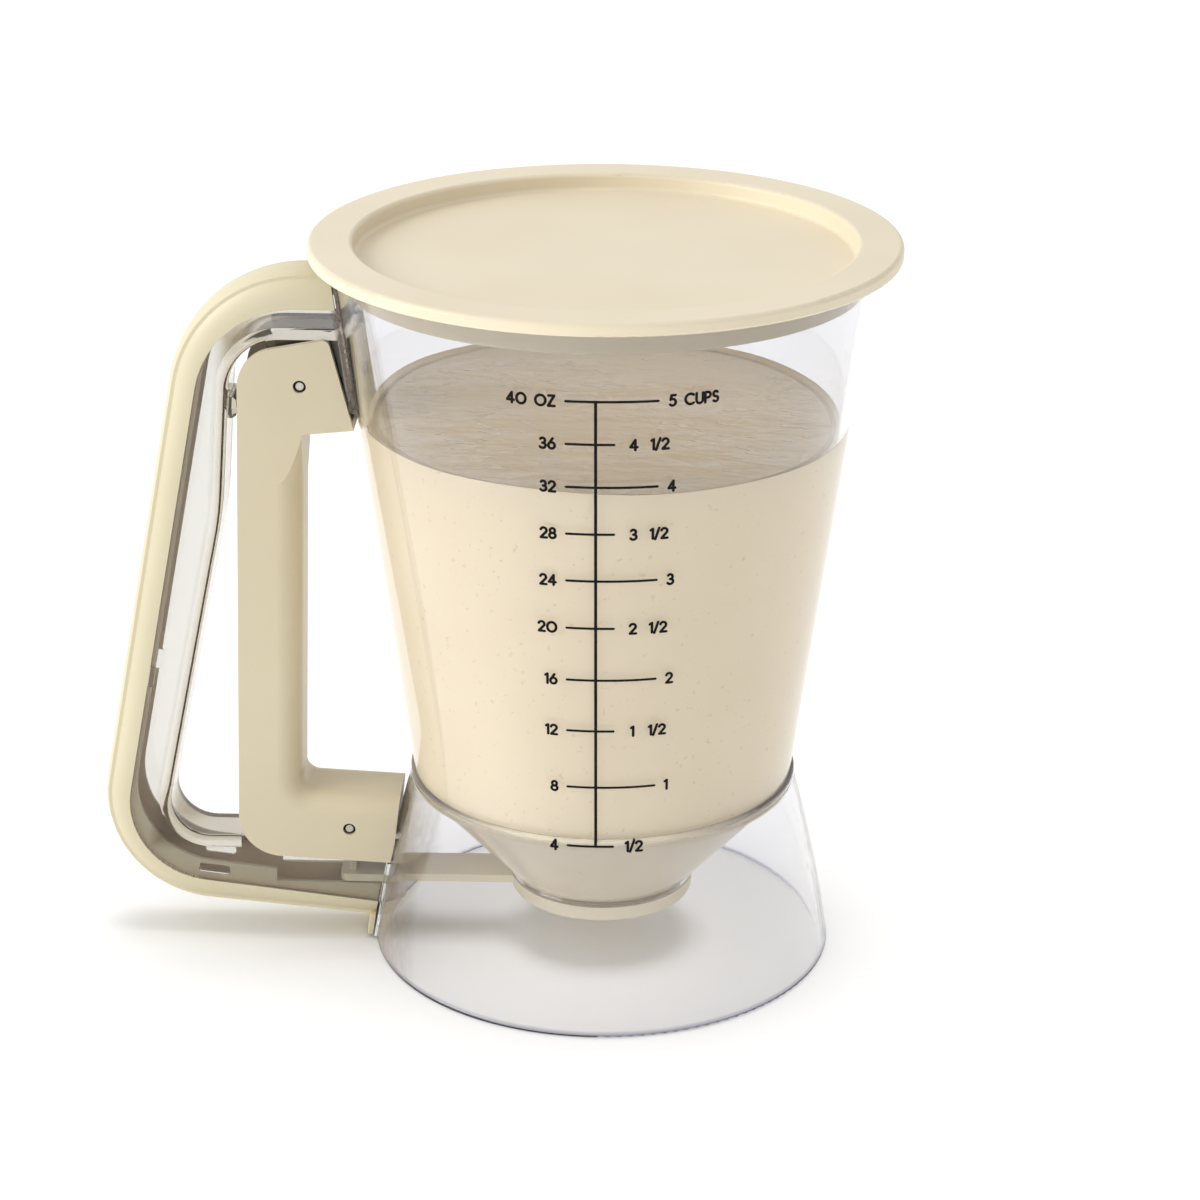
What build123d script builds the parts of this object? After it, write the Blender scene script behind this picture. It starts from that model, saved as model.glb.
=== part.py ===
from build123d import *
import math
import os

# Pancake batter dispenser, in millimetres.
# +Z is up and z = 0 is the table. The jug's axis is the Z axis, the handle points along -X,
# and the measuring scale is on the -Y side.

# ---- Driving dimensions ----

# Jug: a tapered vessel that runs into a funnel and a round outlet
JUG_TOP_Z = 182.8
MOUTH_RADIUS = 65.85
SHOULDER_Z = 48.9
SHOULDER_RADIUS = 48.05
JUG_WALL = 2.3
RIM_ROUND = 0.9
SPIGOT_DEPTH = 2.9
FUNNEL_WALL = 2.3
FUNNEL_BLEND = 5.0
NOZZLE_Z = 17.7
NOZZLE_RADIUS = 23.6
NOZZLE_LAND = 1.6

# Base skirt that carries the jug
COLLAR_RADIUS = 48.85
COLLAR_HEIGHT = 2.8
COLLAR_WALL = 1.5
COLLAR_ROUND = 0.7
FOOT_RADIUS = 58.7
SKIRT_WALL = 2.0
SKIRT_BULGE = 0.7
FOOT_ROUND = 0.6

# Lift-off lid
LID_RADIUS = 71.6
LID_FLANGE = 3.2
LID_EDGE_ROUND = 1.1
RECESS_RADIUS = 61.7
RECESS_DEPTH = 4.4
LID_FLOOR = 2.2
LID_WALL = 2.0
PLUG_DEPTH = 6.6
PLUG_CLEARANCE = 0.55

# Handle: a clear channel, open outwards and closed by a snap-on cover.
# Heights near the top are measured down from the rim, and upper places out from the mouth.
HANDLE_WIDTH = 16.4
CHANNEL_WALL = 1.8
CHANNEL_FLOOR = 3.0
CHANNEL_ROUND = 2.2
COVER_WALL = 2.0
COVER_ROUND = 6.4
LEG_LEAN = 0.193
LEG_Z = 93.4
HEEL_X = -57.0
ROOT_X = -30.0
COVER_DROP = 4.3
COVER_REACH = 51.5
COVER_HEEL_Z = 4.7
COVER_HEEL_SLOPE = 0.095
COVER_TOP_BEND = 34.5
COVER_HEEL_BEND = 29.0
PARTING_DROP = 13.7
PARTING_REACH = 44.3
PARTING_HEEL_Z = 10.4
PARTING_HEEL_SLOPE = 0.12
PARTING_TOP_BEND = 25.0
PARTING_HEEL_BEND = 21.0
INSIDE_DROP = 21.6
INSIDE_REACH = 24.75
INSIDE_KNEE_REACH = 28.05
INSIDE_KNEE_Z = 117.0
INSIDE_LEG_LEAN = 0.21
INSIDE_HEEL_Z = 27.8
INSIDE_TOP_BEND = 13.0
INSIDE_KNEE_BEND = 90.0
INSIDE_HEEL_BEND = 10.0
LIP_THICKNESS = 1.1
LIP_LEG = 1.0
LIP_HEEL = 5.1
LIP_TOP_TRIM = 3.5
LEG_SNAP_Z = 72.0
LEG_SNAP = (5.6, 1.8)
HEEL_SNAP_X = -99.8
HEEL_SNAP_LIFT = 2.9
HEEL_SNAP = (8.0, 2.4)
SNAP_NUB = 0.8
HEEL_LIP = 1.2
HEEL_LIP_Z = 1.0
TONGUE_REACH = 15.8
TONGUE_WIDTH = 6.8
TONGUE_THICKNESS = 1.2
TONGUE_ROUND = 3.0
PAD_THICKNESS = 0.8
PAD_WIDTH = 18.4
PAD_TOP = 1.2
PAD_BELOW_PIVOT = 8.2
PAD_TOE_Z = 21.8

# Pins
PIVOT_REACH = 7.75
PIVOT_DROP = 32.4
LINK_REACH = 5.6
LINK_Z = 32.0
PIN_RADIUS = 1.6
PIN_RECESS = 0.5
PIN_CHAMFER = 0.55

# Trigger: two cheeks outside the channel, joined by a rounded grip
CHEEK_WALL = 1.8
GRIP_ROUND = 5.8
GRIP_LEAN = 0.0315
GRIP_REACH = 24.75
GRIP_DEPTH = 15.75
GRIP_Z = 94.6
GRIP_FADE = 13.0
FADE_SHIFT = 0.32
HEAD_ABOVE_PIVOT = 10.6
HEAD_BELOW_PIVOT = 12.3
HEAD_TOP_SLOPE = 0.18
HEAD_UNDER_SLOPE = 0.1
HEAD_BACK_BEND = 10.0
HEAD_NOSE_BEND = 1.6
HEAD_NOSE_X = 7.2
HEAD_HEEL_X = 12.9
TOE_TOP_ABOVE_LINK = 9.3
TOE_TOP_SLOPE = 0.05
TOE_BELOW_LINK = 8.8
TOE_FLOOR_SLOPE = 0.05
TOE_NOSE_X = 12.0
TOE_NOSE_LEAN = 0.115
TOE_BACK_BEND = 11.0
ELBOW_BEND = 3.4
TOE_WEB_LIFT = 2.2

# Gate: the valve disc under the outlet, its flat arm and the slotted lug on the arm
GATE_RADIUS = 23.2
GATE_THICKNESS = 3.9
GATE_ROUND = 0.8
ARM_WIDTH = 12.3
ARM_THICKNESS = 2.0
ARM_TAIL = 3.0
GATE_TRAVEL = 15.6
LUG_WIDTH = 7.4
LUG_NECK = 1.9
LUG_HEAD = 6.8
LUG_TOP = 3.4
SLOT_PLAY = 0.25
SLOT_TRAVEL = 0.8
WINDOW_START_X = -92.6

# Return spring on the pivot pin
SPRING_WIRE = 1.1
SPRING_RADIUS = 3.3
SPRING_TURNS = 5
SPRING_PITCH = 1.35
SPRING_LEG = 23.4
SPRING_SEAT_DEPTH = 1.2
SEAT_HEIGHT = 5.4
SEAT_REACH = 2.1
SEAT_WIDTH = 11.0

# Clearances
PIN_RUNNING = 0.05
GATE_GAP = 0.15
ARM_PLAY = 0.2
CHEEK_GAP = 0.3
LID_GAP = 0.1
TRIGGER_GAP = 0.4
COVER_GAP = 0.4
LIP_GAP = 0.1
BOND_GAP = 0.05
SPRING_GAP = 0.15

# ---- Derived sizes ----

SPIGOT_RADIUS = COLLAR_RADIUS - COLLAR_WALL - BOND_GAP
COLLAR_Z = SHOULDER_Z - COLLAR_HEIGHT
COVER_TOP_Z = JUG_TOP_Z - COVER_DROP
COVER_LEG_X = -MOUTH_RADIUS - COVER_REACH
PARTING_TOP_Z = JUG_TOP_Z - PARTING_DROP
PARTING_LEG_X = -MOUTH_RADIUS - PARTING_REACH
INSIDE_TOP_Z = JUG_TOP_Z - INSIDE_DROP
INSIDE_TOP_X = -MOUTH_RADIUS - INSIDE_REACH
INSIDE_KNEE = (-MOUTH_RADIUS - INSIDE_KNEE_REACH, INSIDE_KNEE_Z)
PIVOT_X = -MOUTH_RADIUS - PIVOT_REACH
PIVOT_Z = JUG_TOP_Z - PIVOT_DROP
LINK_X = -FOOT_RADIUS - LINK_REACH
GRIP_BACK_X = -MOUTH_RADIUS - GRIP_REACH
HALF = HANDLE_WIDTH / 2
HALF_IN = HALF - CHANNEL_WALL
CHEEK_IN = HALF + CHEEK_GAP
CHEEK_OUT = CHEEK_IN + CHEEK_WALL
GATE_TOP = NOZZLE_Z - GATE_GAP
ARM_BOTTOM = GATE_TOP - ARM_THICKNESS
BEYOND = 30.0


def wall_radius(z):
    """Outside radius of the vessel at a height."""
    share = (z - SHOULDER_Z) / (JUG_TOP_Z - SHOULDER_Z)
    return SHOULDER_RADIUS + share * (MOUTH_RADIUS - SHOULDER_RADIUS)


def meet(first, second):
    """Point where two lines cross; each line is a point and a direction."""
    (x1, z1), (u1, w1) = first
    (x2, z2), (u2, w2) = second
    along = ((x2 - x1) * w2 - (z2 - z1) * u2) / (u1 * w2 - w1 * u2)
    return (x1 + along * u1, z1 + along * w1)


def rounded(corners):
    """Closed outline from (point, radius) corners."""
    outline = make_face(Polyline(*[point for point, _ in corners], close=True))
    for point, radius in corners:
        if radius > 0:
            nearest = outline.vertices().sort_by_distance(Vector(*point))[0]
            outline = fillet(nearest, radius)
    return outline


def slab(region, inner, outer):
    """Extrude an X-Z region on both sides, from |y| = inner to |y| = outer."""
    solid = extrude(Plane.XZ * region, outer, both=True)
    if inner > 0:
        solid -= extrude(Plane.XZ * region, inner, both=True)
    return solid


def spin(region):
    """Revolve a radius-height region about the jug's axis."""
    return revolve(Plane.XZ * region, Axis.Z)


def box(x_range, y_range, z_range):
    """Box between limits on each axis."""
    size = [high - low for low, high in (x_range, y_range, z_range)]
    middle = [(high + low) / 2 for low, high in (x_range, y_range, z_range)]
    return Pos(*middle) * Box(*size)


def rim_edges(solid, region, half_width):
    """Edges of a slab that follow a region's outline on both side faces."""
    chosen = ShapeList()
    for side in (-half_width, half_width):
        outline = Pos(0, side, 0) * (Plane.XZ * region)
        wires = outline.wires()
        for edge in solid.edges().filter_by_position(Axis.Y, side, side):
            if min(wire.distance_to(edge.center(CenterOf.MASS)) for wire in wires) < 0.05:
                chosen.append(edge)
    return chosen


# ---- Jug and base ----

def skirt_arc(top_shift, foot_shift):
    """Side line of the skirt, from the collar down to the foot, moved out at either end."""
    top = (COLLAR_RADIUS + top_shift, COLLAR_Z)
    foot = (FOOT_RADIUS + foot_shift, 0)
    middle = ((top[0] + foot[0]) / 2 + SKIRT_BULGE, COLLAR_Z / 2)
    return ThreePointArc(top, middle, foot)


def envelope(gap):
    """Solid space taken by jug and base, grown outwards by a gap."""
    side = skirt_arc(gap, gap)
    walls = Polyline(
        (FOOT_RADIUS + gap, 0),
        (0, 0),
        (0, JUG_TOP_Z),
        (MOUTH_RADIUS + gap, JUG_TOP_Z),
        (SHOULDER_RADIUS + gap, SHOULDER_Z),
        (COLLAR_RADIUS + gap, SHOULDER_Z),
        (COLLAR_RADIUS + gap, COLLAR_Z),
    )
    return spin(make_face([side] + list(walls.edges())))


def jug_body():
    """Tapered vessel, spigot, funnel and outlet in one moulding."""
    spigot_z = SHOULDER_Z - SPIGOT_DEPTH
    land_z = NOZZLE_Z + NOZZLE_LAND
    funnel = (SPIGOT_RADIUS - NOZZLE_RADIUS, spigot_z - land_z)
    slope = math.atan2(funnel[1], funnel[0])
    throat = NOZZLE_RADIUS - FUNNEL_WALL / math.sin(slope)
    taper = (MOUTH_RADIUS - SHOULDER_RADIUS, JUG_TOP_Z - SHOULDER_Z)
    inner_wall = ((MOUTH_RADIUS - JUG_WALL, JUG_TOP_Z), taper)
    inner_funnel = ((throat, land_z), funnel)
    knuckle = meet(inner_wall, inner_funnel)
    profile = rounded([
        ((MOUTH_RADIUS, JUG_TOP_Z), RIM_ROUND),
        ((SHOULDER_RADIUS, SHOULDER_Z), 0),
        ((SPIGOT_RADIUS, SHOULDER_Z), 0),
        ((SPIGOT_RADIUS, spigot_z), 0),
        ((NOZZLE_RADIUS, land_z), 0),
        ((NOZZLE_RADIUS, NOZZLE_Z), 0),
        ((throat, NOZZLE_Z), 0),
        ((throat, land_z), 0),
        (knuckle, FUNNEL_BLEND),
        ((MOUTH_RADIUS - JUG_WALL, JUG_TOP_Z), RIM_ROUND),
    ])
    return spin(profile)


def arm_window():
    """Slot in the skirt that the gate's arm slides through."""
    half = ARM_WIDTH / 2 + ARM_PLAY
    heights = (ARM_BOTTOM - ARM_PLAY, GATE_TOP + ARM_PLAY)
    return box((-FOOT_RADIUS - BEYOND, -GATE_RADIUS), (-half, half), heights)


def base_skirt():
    """Flared base, with a collar that grips the jug's spigot."""
    outside = skirt_arc(0, 0)
    inside = skirt_arc(-COLLAR_WALL, -SKIRT_WALL)
    collar_top = SHOULDER_Z - BOND_GAP
    collar = Polyline(
        (COLLAR_RADIUS, COLLAR_Z),
        (COLLAR_RADIUS, collar_top),
        (COLLAR_RADIUS - COLLAR_WALL, collar_top),
        (COLLAR_RADIUS - COLLAR_WALL, COLLAR_Z),
    )
    foot = Line((FOOT_RADIUS, 0), (FOOT_RADIUS - SKIRT_WALL, 0))
    profile = make_face([outside, inside, foot] + list(collar.edges()))
    rim = profile.vertices().sort_by_distance(Vector(COLLAR_RADIUS, collar_top))[0]
    profile = fillet(rim, COLLAR_ROUND)
    for radius in (FOOT_RADIUS, FOOT_RADIUS - SKIRT_WALL):
        corner = profile.vertices().sort_by_distance(Vector(radius, 0))[0]
        profile = fillet(corner, FOOT_ROUND)
    return spin(profile) - arm_window()


# ---- Lid ----

def lid():
    """Flange that rests on the rim, sunk top, and a plug ring inside the mouth."""
    flange_z = JUG_TOP_Z + LID_GAP
    top_z = flange_z + LID_FLANGE
    floor_z = top_z - RECESS_DEPTH
    plug_z = flange_z - PLUG_DEPTH
    inner_wall = RECESS_RADIUS - LID_EDGE_ROUND
    mouth = wall_radius(plug_z) - JUG_WALL
    plug = mouth - PLUG_CLEARANCE
    profile = rounded([
        ((0, floor_z), 0),
        ((inner_wall, floor_z), LID_EDGE_ROUND),
        ((inner_wall, top_z), LID_EDGE_ROUND),
        ((LID_RADIUS, top_z), LID_EDGE_ROUND),
        ((LID_RADIUS, flange_z), LID_EDGE_ROUND * 0.6),
        ((plug, flange_z), 0),
        ((plug, plug_z), LID_EDGE_ROUND * 0.6),
        ((plug - LID_WALL, plug_z), LID_EDGE_ROUND * 0.6),
        ((plug - LID_WALL, floor_z - LID_FLOOR), LID_EDGE_ROUND),
        ((0, floor_z - LID_FLOOR), 0),
    ])
    return spin(profile)


# ---- Handle ----

def loop_region(top_z, leg_x, heel_z, heel_slope, bends):
    """D-shaped side view bounded by a top line, a leaning leg and a heel line."""
    top = ((0, top_z), (1, 0))
    leg = ((leg_x, LEG_Z), (LEG_LEAN, 1))
    heel = ((HEEL_X, heel_z), (-1, heel_slope))
    end = meet(heel, ((ROOT_X, 0), (0, 1)))
    return rounded([
        ((ROOT_X, top_z), 0),
        (meet(top, leg), bends[0]),
        (meet(leg, heel), bends[1]),
        (end, 0),
    ])


def cover_region(inset):
    """Side view of the cover's outside, or of its hollow when inset."""
    bends = (COVER_TOP_BEND - inset, COVER_HEEL_BEND - inset)
    heel_z = COVER_HEEL_Z + inset
    return loop_region(COVER_TOP_Z - inset, COVER_LEG_X + inset, heel_z, COVER_HEEL_SLOPE, bends)


def parting_region():
    """Side view of the line where cover and channel meet."""
    bends = (PARTING_TOP_BEND, PARTING_HEEL_BEND)
    return loop_region(PARTING_TOP_Z, PARTING_LEG_X, PARTING_HEEL_Z, PARTING_HEEL_SLOPE, bends)


def inside_region(outset):
    """Side view of the hand gap, or of the channel's floor when grown outwards."""
    knee = (INSIDE_KNEE[0] - outset, INSIDE_KNEE[1])
    upper_lean = (INSIDE_TOP_X - INSIDE_KNEE[0], INSIDE_TOP_Z - INSIDE_KNEE[1])
    top = ((0, INSIDE_TOP_Z + outset), (1, 0))
    heel = ((0, INSIDE_HEEL_Z - outset), (1, 0))
    return rounded([
        ((0, INSIDE_TOP_Z + outset), 0),
        (meet(top, (knee, upper_lean)), INSIDE_TOP_BEND + outset),
        (knee, INSIDE_KNEE_BEND),
        (meet(heel, (knee, (INSIDE_LEG_LEAN, 1))), INSIDE_HEEL_BEND + outset),
        ((0, INSIDE_HEEL_Z - outset), 0),
    ])


def inside_face_x(z):
    """X of the channel's inner face above its knee."""
    lean = (INSIDE_TOP_X - INSIDE_KNEE[0]) / (INSIDE_TOP_Z - INSIDE_KNEE[1])
    return INSIDE_KNEE[0] + lean * (z - INSIDE_KNEE[1])


def pivot_ears():
    """Side walls carried down beside the pivot pin, with the plate that joins them at the jug."""
    bottom = PIVOT_Z - HEAD_BELOW_PIVOT + CHEEK_WALL + 2.2
    reach = PIN_RADIUS + 4.8
    region = rounded([
        ((0, bottom), 0),
        ((PIVOT_X - reach, bottom + 1.4), reach * 0.9),
        ((PIVOT_X - reach - 2, INSIDE_TOP_Z + CHANNEL_FLOOR), 0),
        ((0, INSIDE_TOP_Z + CHANNEL_FLOOR), 0),
    ])
    ears = slab(region, HALF_IN, HALF)
    heights = (bottom + 1, INSIDE_TOP_Z + CHANNEL_FLOOR)
    plate = box((-MOUTH_RADIUS - BEYOND, 0), (-HALF, HALF), heights) & envelope(CHANNEL_WALL)
    return ears + plate


def root_pads():
    """Thin flanges that bond the channel to the jug's wall and to the skirt."""
    reach = (-MOUTH_RADIUS - BEYOND, ROOT_X)
    across = (-PAD_WIDTH / 2, PAD_WIDTH / 2)
    upper = box(reach, across, (PIVOT_Z - PAD_BELOW_PIVOT, COVER_TOP_Z + PAD_TOP))
    lower = box(reach, across, (HEEL_LIP_Z, PAD_TOE_Z))
    return (upper + lower) & envelope(PAD_THICKNESS)


def spring_seat():
    """Rounded rib on the channel's inner face that the spring's short leg presses on."""
    top = PIVOT_Z - SPRING_RADIUS - SPRING_WIRE
    bottom = top - SEAT_HEIGHT
    face = inside_face_x((top + bottom) / 2)
    region = rounded([
        ((face - CHANNEL_FLOOR * 0.6, bottom), 0),
        ((face + SEAT_REACH, bottom), SEAT_REACH * 0.6),
        ((face + SEAT_REACH, top), SEAT_REACH * 0.6),
        ((face - CHANNEL_FLOOR * 0.6, top), 0),
    ])
    return slab(region, 0, SEAT_WIDTH / 2)


def heel_tongue():
    """Flat tongue from the skirt's pad that the end of the cover's heel rests on."""
    inset = COVER_WALL + COVER_GAP
    above = cover_region(inset) - cover_region(inset + TONGUE_THICKNESS)
    end = HEEL_X - TONGUE_REACH
    plan = Pos(end / 2, 0) * RectangleRounded(-end, TONGUE_WIDTH, TONGUE_ROUND)
    return slab(above, 0, HALF_IN) & extrude(plan, PARTING_HEEL_Z)


def handle_frame():
    """Clear channel bonded to jug and base: inner face, side walls, ears, seat, nubs and tongue."""
    hand_gap = inside_region(0)
    frame = slab(parting_region() - hand_gap, 0, HALF)
    frame = fillet(rim_edges(frame, hand_gap, HALF), CHANNEL_ROUND)
    frame -= slab(cover_region(0) - inside_region(CHANNEL_FLOOR), 0, HALF_IN)
    heights = (INSIDE_HEEL_Z - 2 * CHANNEL_FLOOR, INSIDE_HEEL_Z + CHANNEL_FLOOR)
    frame -= box((WINDOW_START_X, 0), (-HALF_IN, HALF_IN), heights)
    frame += pivot_ears()
    frame += spring_seat()
    frame += heel_tongue()
    for window in snap_regions(LIP_GAP):
        frame += slab(window & parting_region(), HALF_IN - SNAP_NUB, HALF_IN + LIP_GAP)
    frame += root_pads()
    frame -= envelope(BOND_GAP)
    frame -= arm_window()
    bore = Cylinder(PIN_RADIUS + PIN_RUNNING, HANDLE_WIDTH + BEYOND)
    frame -= Pos(PIVOT_X, 0, PIVOT_Z) * Rot(90, 0, 0) * bore
    return frame


def snap_regions(inset):
    """Side view of the snaps: one on the leg and one in the heel, smaller by an inset."""
    leg_x = PARTING_LEG_X + LIP_LEG / 2 + LEG_LEAN * (LEG_SNAP_Z - LEG_Z)
    heel_z = PARTING_HEEL_Z + HEEL_SNAP_LIFT + PARTING_HEEL_SLOPE * (HEEL_X - HEEL_SNAP_X)
    places = [
        (leg_x, LEG_SNAP_Z, LEG_SNAP, 90 - math.degrees(math.atan(LEG_LEAN))),
        (HEEL_SNAP_X, heel_z, HEEL_SNAP, -math.degrees(math.atan(PARTING_HEEL_SLOPE))),
    ]
    regions = []
    for x, z, (length, height), angle in places:
        window = RectangleRounded(length - 2 * inset, height - 2 * inset, (height - 2 * inset) * 0.3)
        regions.append(Pos(x, z) * Rot(0, 0, angle) * window)
    return regions


def cover_lip():
    """Inner lip behind the channel's side walls, taller along the heel, with snap windows."""
    bends = (PARTING_TOP_BEND - LIP_TOP_TRIM, PARTING_HEEL_BEND)
    leg_x = PARTING_LEG_X + LIP_LEG
    inner = loop_region(PARTING_TOP_Z, leg_x, PARTING_HEEL_Z + LIP_HEEL, PARTING_HEEL_SLOPE, bends)
    strip = cover_region(COVER_WALL * 0.6) - inner
    thick = (HALF_IN - LIP_GAP - LIP_THICKNESS, HALF_IN - LIP_GAP)
    lip = slab(strip, *thick)
    root = slab(strip - parting_region(), thick[0], HALF_IN + LIP_GAP)
    for window in snap_regions(0):
        lip -= slab(window & parting_region(), 0, HALF_IN + LIP_GAP)
    tail = LINK_X - ARM_TAIL - GATE_TRAVEL - 2 * COVER_GAP
    lip -= box((tail, 0), (-HALF, HALF), (ARM_BOTTOM - COVER_GAP, INSIDE_HEEL_Z))
    return lip + root


def handle_cover():
    """Rounded outer cover, hollow, with an inner lip and a short lip down the skirt."""
    outside = cover_region(0)
    cover = slab(outside, 0, HALF)
    cover = fillet(rim_edges(cover, outside, HALF), COVER_ROUND)
    cover -= slab(parting_region(), 0, HALF + BEYOND)
    inside = cover_region(COVER_WALL)
    hollow = slab(inside, 0, HALF_IN)
    hollow = fillet(rim_edges(hollow, inside, HALF_IN), COVER_ROUND - COVER_WALL)
    cover -= hollow
    cover += cover_lip()
    reach = (-FOOT_RADIUS - BEYOND, 0)
    lip = box(reach, (-HALF, HALF), (HEEL_LIP_Z, COVER_HEEL_Z + COVER_WALL))
    cover += lip & envelope(PAD_THICKNESS + COVER_GAP + HEEL_LIP)
    return cover - envelope(PAD_THICKNESS + COVER_GAP)


# ---- Trigger and pins ----

def grip_line(inset):
    """Front line of the grip, moved back into the trigger by an inset."""
    return ((GRIP_BACK_X + GRIP_DEPTH - inset, GRIP_Z), (GRIP_LEAN, 1))


def toe_top_line(inset):
    """Top line of the toe, moved down into the trigger by an inset."""
    return ((LINK_X, LINK_Z + TOE_TOP_ABOVE_LINK - inset), (-1, TOE_TOP_SLOPE))


def toe_nose_line(inset):
    """End line of the toe, beside the base skirt."""
    return ((LINK_X + TOE_NOSE_X - inset, LINK_Z), (TOE_NOSE_LEAN, 1))


def back_line():
    """Rear line of the cheeks, towards the hand gap."""
    return ((GRIP_BACK_X, GRIP_Z), (GRIP_LEAN, 1))


def toe_floor_line():
    """Bottom line of the toe, rising slightly to the rear."""
    return ((LINK_X, LINK_Z - TOE_BELOW_LINK), (-1, TOE_FLOOR_SLOPE))


def level(z):
    """Horizontal line."""
    return ((0, z), (1, 0))


def grip_region():
    """Side view of grip and toe."""
    hip = level(PIVOT_Z)
    return rounded([
        (meet(hip, back_line()), 0),
        (meet(toe_floor_line(), back_line()), TOE_BACK_BEND),
        (meet(toe_floor_line(), toe_nose_line(0)), 0),
        (meet(toe_top_line(0), toe_nose_line(0)), 0),
        (meet(toe_top_line(0), grip_line(0)), ELBOW_BEND),
        (meet(hip, grip_line(0)), 0),
    ])


def head_underside(lift):
    """Underside line of the head, or the top of its web when lifted."""
    z = PIVOT_Z - HEAD_BELOW_PIVOT + lift
    return ((PIVOT_X, z), (1, HEAD_UNDER_SLOPE))


def head_region():
    """Side view of the head that holds the pivot pin."""
    top = ((PIVOT_X, PIVOT_Z + HEAD_ABOVE_PIVOT), (1, HEAD_TOP_SLOPE))
    nose = meet(top, ((PIVOT_X + HEAD_NOSE_X, 0), (0, 1)))
    heel = meet(head_underside(0), ((PIVOT_X + HEAD_HEEL_X, 0), (0, 1)))
    return rounded([
        (meet(top, back_line()), HEAD_BACK_BEND),
        (nose, HEAD_NOSE_BEND),
        (heel, 0),
        (meet(head_underside(0), back_line()), 0),
    ])


def grip_hollow():
    """Space between the cheeks of grip and toe, open at the rear and below."""
    rear = GRIP_BACK_X - BEYOND
    below = LINK_Z - TOE_BELOW_LINK - BEYOND
    web_z = INSIDE_HEEL_Z + TOE_WEB_LIFT
    hip = level(PIVOT_Z)
    front = grip_line(CHEEK_WALL)
    top = toe_top_line(CHEEK_WALL)
    region = rounded([
        ((rear, PIVOT_Z), 0),
        ((rear, below), 0),
        ((0, below), 0),
        ((0, web_z), 0),
        (meet(level(web_z), toe_nose_line(CHEEK_WALL)), 0),
        (meet(top, toe_nose_line(CHEEK_WALL)), 0),
        (meet(top, front), ELBOW_BEND + CHEEK_WALL),
        (meet(hip, front), 0),
    ])
    hollow = slab(region, 0, CHEEK_IN)
    return round_front(hollow, CHEEK_WALL, CHEEK_IN, GRIP_ROUND - CHEEK_WALL)


def round_front(solid, inset, half_width, radius):
    """Round the long edges of grip and toe that face the fingers."""
    hip = level(PIVOT_Z)
    start = meet(hip, grip_line(inset))
    elbow = meet(toe_top_line(inset), grip_line(inset))
    end = meet(toe_top_line(inset), toe_nose_line(inset))
    path = FilletPolyline(start, elbow, end, radius=ELBOW_BEND + inset)
    chosen = ShapeList()
    for side in (-half_width, half_width):
        wire = Pos(0, side, 0) * (Plane.XZ * path)
        for edge in solid.edges().filter_by_position(Axis.Y, side, side):
            if wire.distance_to(edge.center(CenterOf.MASS)) < 0.05:
                chosen.append(edge)
    return fillet(chosen, radius)


def head_hollow():
    """Space between the cheeks of the head, open to jug, lid and rear."""
    rear = GRIP_BACK_X - BEYOND
    line = head_underside(CHEEK_WALL)
    above = PIVOT_Z + HEAD_ABOVE_PIVOT + BEYOND
    region = rounded([
        (meet(line, ((rear, 0), (0, 1))), 0),
        (meet(line, ((0, 0), (0, 1))), 0),
        ((0, above), 0),
        ((rear, above), 0),
    ])
    return slab(region, 0, CHEEK_IN)


def pin_at(x, z, radius, half_length):
    """Round bar across the handle at a pin's place."""
    return Pos(x, 0, z) * Rot(90, 0, 0) * Cylinder(radius, 2 * half_length)


def fade_plane():
    """Plane square to the grip's front line, where the rounding starts to fade out."""
    x, z = meet(level(PIVOT_Z - HEAD_BELOW_PIVOT - GRIP_FADE), grip_line(0))
    return Plane(origin=(x, 0, z), x_dir=(1, 0, -GRIP_LEAN), z_dir=(GRIP_LEAN, 0, 1))


def fading_waste(side):
    """Waste that rounds one front edge above the fade plane, moving off the edge as it rises."""
    start = fade_plane()
    middle = -GRIP_ROUND * (1 - math.sqrt(0.5))
    arc = ThreePointArc((-GRIP_ROUND, 0), (middle, middle), (0, -GRIP_ROUND))
    corner = Polyline((0, -GRIP_ROUND), (1, -GRIP_ROUND), (1, 1), (-GRIP_ROUND, 1), (-GRIP_ROUND, 0))
    profile = make_face([arc] + list(corner.edges()))
    if side < 0:
        profile = mirror(profile, Plane.XZ)
    away = GRIP_ROUND * FADE_SHIFT
    rise = start.x_dir * away + start.y_dir * side * away + start.z_dir * GRIP_FADE
    return extrude(start * Pos(0, side * CHEEK_OUT) * profile, rise.length, rise.normalized())


def grip():
    """Grip and toe, with front edges whose rounding fades out below the head."""
    reach = 5 * BEYOND
    below = fade_plane() * Pos(0, 0, -reach / 2) * Box(reach, reach, reach)
    solid = slab(grip_region(), 0, CHEEK_OUT)
    lower = round_front(solid & below, 0, CHEEK_OUT, GRIP_ROUND)
    upper = solid - below
    for side in (-1, 1):
        upper -= fading_waste(side)
    return lower + upper


def trigger():
    """Squeeze lever: head on the pivot pin, rounded grip, and a toe that drives the gate."""
    body = grip() + slab(head_region(), 0, CHEEK_OUT)
    body -= grip_hollow()
    body -= head_hollow()
    body -= envelope(TRIGGER_GAP)
    for x, z in ((PIVOT_X, PIVOT_Z), (LINK_X, LINK_Z)):
        body -= pin_at(x, z, PIN_RADIUS, CHEEK_OUT + BEYOND)
    return body


def pin(x, z):
    """Steel pin whose ends sit just below the cheeks' faces."""
    bar = pin_at(x, z, PIN_RADIUS, CHEEK_OUT - PIN_RECESS)
    return chamfer(bar.edges().filter_by(GeomType.CIRCLE), PIN_CHAMFER)


# ---- Gate ----

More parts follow.
